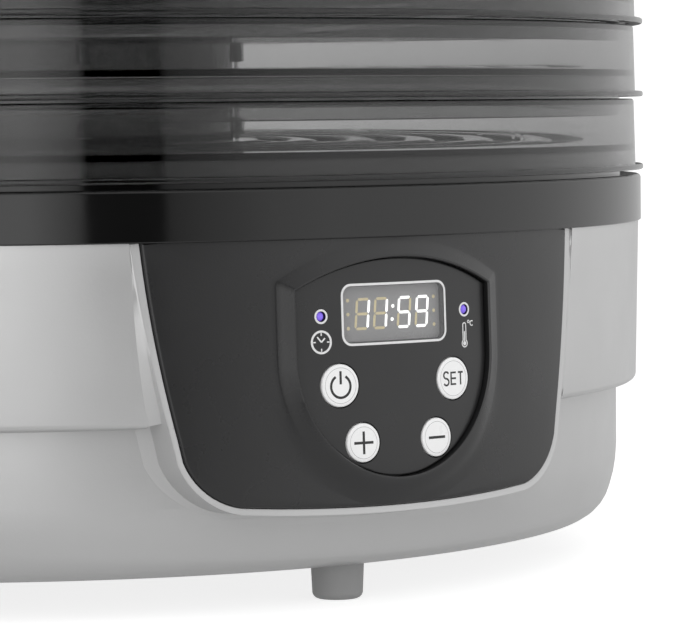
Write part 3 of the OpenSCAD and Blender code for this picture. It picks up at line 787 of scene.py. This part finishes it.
def build_control_plate():
    angles = loop_angles(SHIELD_CORNERS, 200)
    edge = {g: [reach(shield_loop(g), a) for a in angles] for g in (0.0, -0.12, -0.4)}
    flat = [0.0] * len(angles)
    section = [(between(edge[0.0], flat, t), PLATE_PROUD - PLATE_T) for t in (1, 0.8, 0.5, 0.2, 0)]
    section += [(edge[0.0], PLATE_PROUD - 0.3), (edge[-0.12], PLATE_PROUD - 0.08),
                (edge[-0.4], PLATE_PROUD)]
    section += [(between(edge[-0.4], flat, t), PLATE_PROUD) for t in (0.12, 0.25, 0.4, 0.55, 0.7, 0.85, 1)]
    rows = [panel_row(angles, reaches, proud) for reaches, proud in section]
    plate = make("printed_plate", loft(Shape(), rows), plate_black)
    holes = Shape()
    for _, at, r in BUTTONS:
        bar_along_y(holes, at, r + BUTTON_GAP, HOLES_FROM, HOLES_TO, 72)
    for at in (TIMER_LED_AT, HEAT_LED_AT):
        bar_along_y(holes, at, LED_HOLE_R, HOLES_FROM, HOLES_TO)
    holes.join(prism(window_loop(0), HOLES_FROM, HOLES_TO))
    cut(plate, holes)
    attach(plate, "base")
    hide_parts("control_plate")


# ---------------------------------------------------------------- prints, symbols and digits

def slab(shape, outline, levels):
    """A thin raised print with the given closed outline, between two levels above the cone."""
    return capped(shape, *[[on_panel(x, z, level) for x, z in outline] for level in levels])


def stroke(shape, points, width, levels, closed=False):
    """A ribbon of even width along a line of points."""
    n = len(points)
    low, high = levels
    left, right = [], []
    for i, (x, z) in enumerate(points):
        x0, z0 = points[i - 1] if closed or i else points[i]
        x1, z1 = points[(i + 1) % n] if closed or i < n - 1 else points[i]
        along = math.hypot(x1 - x0, z1 - z0)
        nx, nz = -(z1 - z0) / along * width / 2, (x1 - x0) / along * width / 2
        left.append((x + nx, z + nz))
        right.append((x - nx, z - nz))
    rows = [[on_panel(*left[i], low), on_panel(*left[i], high),
             on_panel(*right[i], high), on_panel(*right[i], low)] for i in range(n)]
    loft(shape, rows, closed_loft=closed)
    if not closed:
        shape.add(rows[0], [[0, 1, 2, 3]])
        shape.add(rows[-1], [[0, 1, 2, 3]])
    return shape


def ring_stroke(shape, at, r, width, levels, steps=48):
    return stroke(shape, circle(at, r, steps), width, levels, closed=True)


def build_plate_prints():
    white = Shape()
    stroke(white, window_loop(0.3), 0.55, PRINT, closed=True)
    for at in (TIMER_LED_AT, HEAT_LED_AT):
        ring_stroke(white, at, 1.45, 0.45, PRINT, 32)
    clock = (-20.8, 62.1)

    def on_clock(r, degrees):
        a = math.radians(degrees)
        return (clock[0] + r * math.sin(a), clock[1] + r * math.cos(a))

    ring_stroke(white, clock, 2.45, 0.5, PRINT)
    for quarter in range(4):
        stroke(white, [on_clock(r, 90 * quarter) for r in (1.45, 2.1)], 0.28, PRINT)
    for angle, length in ((-40, 1.6), (46, 1.3)):
        stroke(white, [clock, on_clock(length, angle)], 0.34, OVERPRINT)
    bulb = (20.6, 60.0)
    tube = (arc_points(bulb[0], bulb[1], 0.85, -235, 55, 14)
            + arc_points(bulb[0], 64.3, 0.48, 0, 180, 8))
    stroke(white, tube, 0.26, PRINT, closed=True)
    slab(white, arc_points(bulb[0], bulb[1], 0.5, 0, 345, 23), PRINT)
    stroke(white, [(20.6, 60.3), (20.6, 62.8)], 0.3, OVERPRINT)
    ring_stroke(white, (22.0, 65.0), 0.3, 0.2, PRINT, 20)
    stroke(white, arc_points(23.1, 64.6, 0.55, 50, 310, 14), 0.24, PRINT)
    make("plate_prints", white, ink_white, "base")


def build_display():
    """The module behind the window, with its segments, dots and colon."""
    face = Shape()
    low, high = PLATE_PROUD - 2.0, PLATE_PROUD - 1.6
    half = DISPLAY_SIZE[0] / 2 - 0.25
    middle = [(DISPLAY_AT[0] + half * (i / 12 - 1), DISPLAY_AT[1]) for i in range(25)]
    stroke(face, middle, DISPLAY_SIZE[1] - 0.4, (low, high))
    corners = [(sx * 13, DISPLAY_AT[1] + sz * 5.5) for sx, sz in ((-1, -1), (1, -1), (1, 1), (-1, 1))]
    face.join(prism(corners, 146, 160.6))
    make("display_block", face, module_face, "base", ["display_module"])

    lit, off = Shape(), Shape()
    levels = (high - 0.02, high + 0.05)
    half_w, half_h, thick = 1.65, 3.35, 0.62
    segments = {"a": ((-1, 1), (1, 1)), "b": ((1, 1), (1, 0)), "c": ((1, 0), (1, -1)),
                "d": ((-1, -1), (1, -1)), "e": ((-1, 0), (-1, -1)), "f": ((-1, 1), (-1, 0)),
                "g": ((-1, 0), (1, 0))}
    slant = 0.10
    shown = {-8.3: "bc", -3.2: "bc", 3.6: "acdfg", 8.9: "abcdfg"}
    for cx, on in shown.items():
        for name, ends in segments.items():
            (ax, az), (bx, bz) = [(sx * half_w, sz * half_h) for sx, sz in ends]
            length = math.hypot(bx - ax, bz - az)
            ux, uz = (bx - ax) / length, (bz - az) / length
            a0, b0, tip = 0.14, length - 0.14, thick / 2
            outline = [(a0, 0), (a0 + tip, tip), (b0 - tip, tip),
                       (b0, 0), (b0 - tip, -tip), (a0 + tip, -tip)]
            placed = [(ax + ux * s - uz * t, az + uz * s + ux * t) for s, t in outline]
            slab(lit if name in on else off,
                 [(DISPLAY_AT[0] + cx + x + slant * z, DISPLAY_AT[1] + z) for x, z in placed], levels)
    colon = [(0.35, 1.5), (0.05, -1.5)]
    side_dots = [(dx, dz) for dx in (-12.2, 12.6) for dz in (3.2, 0, -3.2)]
    for target, places in ((lit, colon), (off, side_dots)):
        for dx, dz in places:
            slab(target, circle((DISPLAY_AT[0] + dx, DISPLAY_AT[1] + dz), 0.42, 12), levels)
    make("segments_lit", lit, segment_lit, "base")
    make("segments_off", off, segment_off, "base")


def button_shape(at, r, stem_end, steps=72):
    """A cap that follows the plate, its collar and its stem."""
    angles = [2 * math.pi * i / steps for i in range(steps)]
    section = ((0, BUTTON_PROUD), (r * 0.4, BUTTON_PROUD), (r * 0.8, BUTTON_PROUD),
               (r - 0.42, BUTTON_PROUD), (r - 0.14, BUTTON_PROUD - 0.1), (r, BUTTON_PROUD - 0.35),
               (r, -2.05), (r + 1, -2.2), (r + 1, -2.8), (1.9, -2.8), (1.9, stem_end), (0, stem_end))
    return loft(Shape(), [[on_panel(at[0] + radius * math.cos(a), at[1] + radius * math.sin(a), proud)
                           for a in angles] for radius, proud in section])


def letter_strokes(letter, x, z, w, h):
    """Centre lines of the letters of the set button."""
    if letter == "S":
        r = w / 2
        return [arc_points(x, z + h / 2 - r * 0.98, r, 25, 270, 12)
                + arc_points(x, z - h / 2 + r * 0.98, r, 90, -155, 12)[1:]]
    if letter == "E":
        return [[(x - w / 2, z + h / 2), (x - w / 2, z - h / 2)]] + [
            [(x - w / 2 + 0.2, z + dz), (x + w / 2, z + dz)] for dz in (h / 2 - 0.2, 0, 0.2 - h / 2)]
    bar_z = z + h / 2 - 0.2
    return [[(x - w / 2, bar_z), (x + w / 2, bar_z)], [(x, bar_z - 0.2), (x, z - h / 2)]]


def build_buttons():
    for name, at, r in BUTTONS:
        node, body = f"button_{name}", f"{name}_button"
        stem_end = STEM_DEPTH + on_panel(*at)[1]
        make(node + "_cap", button_shape(at, r, stem_end), white_cap, body, [node])
        line = ring_stroke(Shape(), at, r - 0.85, 0.12, CAP_LINE, 64)
        make(node + "_line", line, ink_grey, body)

    x, z = POWER_AT
    power = Shape()
    stroke(power, arc_points(x, z - 0.2, 2.55, 120, 420, 36), 0.58, CAP_PRINT)
    stroke(power, [(x, z + 0.3), (x, z + 3.3)], 0.58, CAP_PRINT)
    make("power_symbol", power, ink_black, "power_button")

    word = Shape()
    for letter, dx in (("S", -2.25), ("E", 0.05), ("T", 2.3)):
        for line in letter_strokes(letter, SET_AT[0] + dx, SET_AT[1], 1.55, 3.1):
            stroke(word, line, 0.42, CAP_PRINT)
    make("set_word", word, ink_black, "set_button")

    x, z = PLUS_AT
    plus = Shape()
    stroke(plus, [(x - 2.6, z), (x + 2.6, z)], 0.62, CAP_PRINT)
    for side in (-1, 1):
        stroke(plus, [(x, z + 0.31 * side), (x, z + 2.6 * side)], 0.62, CAP_PRINT)
    make("plus_symbol", plus, ink_black, "plus_button")
    x, z = MINUS_AT
    minus = stroke(Shape(), [(x - 2.5, z), (x + 2.5, z)], 0.62, CAP_PRINT)
    make("minus_symbol", minus, ink_black, "minus_button")


# ---------------------------------------------------------------- trays and lid

SPOKES = 12
PER_SECTOR = 18


def spoke_turn(spokes, per_sector, half_width, edge):
    """Columns that keep the spokes the same width at every radius."""
    def turn(j, r):
        j %= spokes * per_sector
        sector, k = divmod(j, per_sector)
        spacing = 2 * math.pi / spokes
        clear = half_width / r if r > 1 else 0.0
        step = edge / r if r > 1 else 0.0
        last = per_sector - 1
        if k == 0:
            share = clear
        elif k == last:
            share = spacing - clear
        else:
            inner = spacing - 2 * clear - 2 * step
            share = clear + step + inner * (k - 1) / (last - 2)
        return sector * spacing + share + math.radians(15)
    return turn


def tray_shape():
    """One moulding: wall with bead, nesting lip, slotted floor with ribs and ribbed hub."""
    columns = SPOKES * PER_SECTOR
    turn = spoke_turn(SPOKES, PER_SECTOR, 1.6, 0.35)
    wall_in, lip_in = TRAY_R - TRAY_WALL, LIP_R - LIP_T
    lip_top = TRAY_PITCH + FLOOR_LOW - LIP_GAP
    shape = Shape()
    rim = rounded([
        (wall_in, FLOOR_HIGH), (wall_in, SHOULDER_LOW), (LIP_R, SHOULDER_LOW),
        (LIP_R, LIP_FOOT, 0.3), (lip_in, LIP_FOOT, 0.3), (lip_in, lip_top, 0.5), (LIP_R, lip_top, 0.5),
        (LIP_R, SHOULDER_HIGH), (TRAY_R - 0.4, SHOULDER_HIGH, 0.6), (TRAY_R, BEAD_H),
        (BEAD_R, BEAD_H, 0.5), (BEAD_R, 0.0, 0.5), (wall_in, 0.0, 0.3), (wall_in, FLOOR_LOW)], 3)
    lathe(shape, rim, columns, turn, closed=False)

    starts = [SLOT_FIRST + SLOT_PITCH * row for row in range(SLOT_ROWS)]
    slots = [(start, start + SLOT_W) for start in starts]
    rings = [(low, high) for low, high in zip([HUB_R] + [high for _, high in slots],
                                              starts + [wall_in])]
    radii = sorted({low + (high - low) * share for low, high in rings
                    for share in (0, 0.12, 0.3, 0.5, 0.7, 0.88, 1)})

    def top(r):
        """The rings between the slots are slightly crowned."""
        for low, high in rings[1:-1]:
            if low - 0.01 <= r <= high + 0.01:
                return FLOOR_HIGH - 0.5 * abs(2 * (r - low) / (high - low) - 1) ** 3
        return FLOOR_HIGH

    def is_open(i, j):
        middle = (radii[i] + radii[i + 1]) / 2
        return any(low < middle < high for low, high in slots) and j % PER_SECTOR != PER_SECTOR - 1

    slotted_plate(shape, radii, top, lambda r: FLOOR_LOW, columns, turn, is_open)

    def hub(j):
        """Section of the hub, with an upright rib at every second spoke."""
        sector, place = divmod(j, PER_SECTOR)
        at_spoke = place in (0, PER_SECTOR - 1)
        rib = 1.9 if at_spoke and (sector + (place > 0)) % 2 else 0.0
        hub_in, round_z = HUB_R - HUB_T, HUB_TOP - 0.4
        return [(HUB_R, FLOOR_LOW), (hub_in, FLOOR_LOW), (hub_in, round_z),
                (hub_in + 0.4, HUB_TOP), (HUB_R - 0.4, HUB_TOP), (HUB_R, round_z), (HUB_R, 13.3),
                (HUB_R + rib, 13.1), (HUB_R + rib, 8.4), (HUB_R, 8.2), (HUB_R, FLOOR_HIGH)]

    return lathe(shape, hub, columns, turn, closed=False)


def build_trays():
    first = make("tray_1_moulding", tray_shape(), smoke, sharp=40)
    trays = [first]
    for n in range(2, TRAYS + 1):
        copy = bpy.data.objects.new(f"tray_{n}_moulding", first.data)
        scene.collection.objects.link(copy)
        trays.append(copy)
    for n, tray in enumerate(trays, 1):
        tray.location.z = (TRAY_FOOT + (n - 1) * TRAY_PITCH) * MM
        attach(tray, f"tray_{n}")
        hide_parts(f"tray_{n}_rim", f"tray_{n}_floor", f"tray_{n}_hub")


def lid_shape():
    """Shallow domed cover with three rings of vent slots in its middle."""
    spokes, per_sector = 8, 28
    columns = spokes * per_sector
    turn = spoke_turn(spokes, per_sector, 2.5, 0.4)
    flat_r = 150.0

    def dome(crown):
        """Height over radius of a dome with a dimple in its middle."""
        return lambda r: crown - 1.5 * (r / flat_r) ** 2 - 0.8 * smoothstep((13 - r) / 4)

    top, bottom = dome(11.5), dome(9.5)

    slots = [(16 + 14 * row, 21 + 14 * row) for row in range(3)]
    radii = [0, 4, 8, 9.5, 11, 12.5, 14]
    for low, high in slots:
        radii += [low, (low + high) / 2, high, high + 3]
    radii += [56, 60, 70, 85, 100, 115, 130, 142, flat_r]
    radii = sorted(set(radii))

    def is_open(i, j):
        middle = (radii[i] + radii[i + 1]) / 2
        return any(low < middle < high for low, high in slots) and j % per_sector != per_sector - 1

    shape = Shape()
    slotted_plate(shape, radii, top, bottom, columns, turn, is_open)
    rim = rounded([
        (flat_r, bottom(flat_r)), (TRAY_R - 7, 7.6), (TRAY_R - 4, 6.3, 1.2), (TRAY_R - TRAY_WALL, 0, 0.3),
        (BEAD_R, 0, 0.5), (BEAD_R, BEAD_H, 0.5), (TRAY_R, BEAD_H), (TRAY_R - 1.6, 7.8, 1.6),
        (TRAY_R - 6, 9.7, 2.5), (flat_r, top(flat_r))], 4)
    return lathe(shape, rim, columns, turn, closed=False)


def build_lid():
    lid = make("vented_lid", lid_shape(), smoke, sharp=40)
    lid.location.z = (TRAY_FOOT + TRAYS * TRAY_PITCH) * MM
    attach(lid, "lid")
    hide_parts("lid")


# ---------------------------------------------------------------- inside

def build_heater_coil():
    """Resistance wire wound in a helix along each of the four turns."""
    shape = Shape()
    wire_r, helix_r, steps_round = 0.35, 1.15, 6
    round_wire = [2 * math.pi * k / steps_round for k in range(steps_round)]
    for turn_r in COIL_TURNS:
        winds = int(turn_r * 2.2)
        steps = winds * 9

        def on_helix(a):
            b = a * winds
            return Vector(polar(turn_r + helix_r * math.cos(b), a, COIL_Z + helix_r * math.sin(b)))

        rows = []
        for i in range(steps):
            a = 2 * math.pi * i / steps
            centre = on_helix(a)
            along = (on_helix(a + 2 * math.pi / steps) - centre).normalized()
            side = along.cross(Vector((0, 0, 1))).normalized()
            up = side.cross(along)
            rows.append([tuple(centre + wire_r * (side * math.cos(b) + up * math.sin(b)))
                         for b in round_wire])
        loft(shape, rows, closed_loft=True)
    make("wound_heater_wire", shape, coil_wire, "base", ["heater_coil"], sharp=60)


def dress_cad_nodes():
    """Materials of the CAD nodes that are shown as they are."""
    looks = (
        (steel, "outlet_grille deck_screws board_screws motor_bracket bracket_screws motor_shaft"),
        (dark_plastic, "intake_grille tact_switches fan_impeller fan_shroud"),
        (aluminium, "thermostat thermal_fuse temperature_sensor"),
        (board_green, "control_board power_board"),
        (violet_lens, "led_timer led_temperature"),
        (window_grey, "display_window"), (cable_grey, "ribbon_cable"), (motor_steel, "fan_motor"),
        (brass, "fan_nut"), (mica, "heater_frame"), (tape_yellow, "power_transformer"),
        (relay_blue, "power_relay"), (terminal_green, "terminal_block"), (black_rubber, "cord_gland"),
    )
    for material, names in looks:
        for name in names.split():
            mesh = nodes[name].data
            mesh.materials.clear()
            mesh.materials.append(material)


# ---------------------------------------------------------------- camera, floor and light

def aim_matrix(position, yaw, pitch, roll):
    """A camera's placement from its heading, its downward pitch and its roll, in radians."""
    flat = math.cos(pitch)
    forward = Vector((math.sin(yaw) * flat, math.cos(yaw) * flat, -math.sin(pitch)))
    level = Vector((math.cos(yaw), -math.sin(yaw), 0))
    up = level.cross(forward)
    right = level * math.cos(roll) + up * math.sin(roll)
    up = right.cross(forward)
    return Matrix.Translation(position) @ Matrix((right, up, -forward)).transposed().to_4x4()


CAMERA_AZIMUTH = math.radians(-31.8)
CAMERA_R = 984.6
CAMERA_Z = 114.05
CAMERA_YAW, CAMERA_PITCH, CAMERA_ROLL = 0.0865, 0.0546, -0.0111
LENS = 196.59
FLOOR_R = 0.5
# Brightness of the surroundings at azimuths round the object, in degrees
STUDIO_LEVELS = (
    (-75, 1.1), (-52, 1.75), (-30, 1.75), (-26, 1.3), (-23, 0.95), (-21.1, 0.75), (-21.0, 0.0),
    (-6.4, 0.0), (-5.6, 0.36), (0, 0.55), (7, 0.75), (13, 0.95), (24, 1.12), (60, 1.12),
    (90, 1.02), (110, 0.87), (120, 0.76), (131, 0.64), (137, 0.5), (139, 0.0), (157, 0.0),
    (159, 0.5), (190, 1.0))


def build_camera():
    data = bpy.data.cameras.new("camera")
    data.sensor_width = 36
    data.lens = LENS
    data.clip_start, data.clip_end = 0.05, 50
    camera = bpy.data.objects.new("camera", data)
    scene.collection.objects.link(camera)
    position = Vector(polar(CAMERA_R, CAMERA_AZIMUTH, CAMERA_Z)) * MM
    camera.matrix_world = aim_matrix(position, CAMERA_YAW - CAMERA_AZIMUTH, CAMERA_PITCH, CAMERA_ROLL)
    scene.camera = camera


def studio_world():
    """White surroundings with a black board and softer light beside it, all fixed in the room."""
    world = bpy.data.worlds.new("studio")
    world.use_nodes = True
    tree = world.node_tree
    background = tree.nodes["Background"]
    where = tree.nodes.new("ShaderNodeTexCoord")
    around = tree.nodes.new("ShaderNodeTexGradient")
    around.gradient_type = "RADIAL"
    ramp = tree.nodes.new("ShaderNodeValToRGB")
    tree.links.new(where.outputs["Generated"], around.inputs["Vector"])
    tree.links.new(around.outputs["Fac"], ramp.inputs["Fac"])
    brightest = max(level for _, level in STUDIO_LEVELS)
    stops = [((azimuth + 90) / 360 % 1, level / brightest) for azimuth, level in STUDIO_LEVELS]
    elements = ramp.color_ramp.elements
    for place, level in sorted(stops):
        element = elements.new(place)
        element.color = (level, level, level, 1)
    white = (1 / brightest,) * 3
    for element in elements:
        if element.position in (0.0, 1.0):
            element.color = (*white, 1)
    height = tree.nodes.new("ShaderNodeSeparateXYZ")
    tree.links.new(where.outputs["Generated"], height.inputs[0])
    overhead = spread(tree, height.outputs["Z"], 0.0, 1.0, (0.5, 0.85))
    lit_room = blend_colours(tree, overhead, ramp.outputs["Color"], white)
    path = tree.nodes.new("ShaderNodeLightPath")
    plain_rays = tree.nodes.new("ShaderNodeMath")
    plain_rays.operation = "MAXIMUM"
    tree.links.new(path.outputs["Is Camera Ray"], plain_rays.inputs[0])
    tree.links.new(path.outputs["Is Transmission Ray"], plain_rays.inputs[1])
    seen = blend_colours(tree, plain_rays.outputs[0], lit_room, (1.1 / brightest,) * 3)
    tree.links.new(seen, background.inputs["Color"])
    background.inputs["Strength"].default_value = brightest
    return world


def build_stage():
    floor_look, tree, shader, _ = new_material("studio_floor")
    tree.links.new(blend_colours(tree, noise(tree, 3, 2), (0.44, 0.44, 0.44), (0.46, 0.46, 0.46)),
                   shader.inputs["Base Color"])
    fill(shader, {"Roughness": 0.7, "Emission Color": (1, 1, 1, 1)})
    path = tree.nodes.new("ShaderNodeLightPath")
    tree.links.new(spread(tree, path.outputs["Is Camera Ray"], 0.30, 0.76, (0, 1)),
                   shader.inputs["Emission Strength"])
    mesh = bpy.data.meshes.new("floor")
    edge = [(z, x, 0) for x, z in on_arc(0, 0, FLOOR_R, range(0, 360, 3))]
    mesh.from_pydata(edge, [], [list(range(len(edge)))])
    mesh.materials.append(floor_look)
    floor = bpy.data.objects.new("floor", mesh)
    scene.collection.objects.link(floor)

    scene.world = studio_world()
    scene.view_settings.view_transform = "Standard"
    scene.cycles.max_bounces = 24
    scene.cycles.transmission_bounces = 24
    scene.cycles.transparent_max_bounces = 24


build_camera()
build_stage()
build_housing()
build_feet()
build_deck()
build_front_panel()
build_control_plate()
build_plate_prints()
build_display()
build_buttons()
build_trays()
build_lid()
build_heater_coil()
dress_cad_nodes()
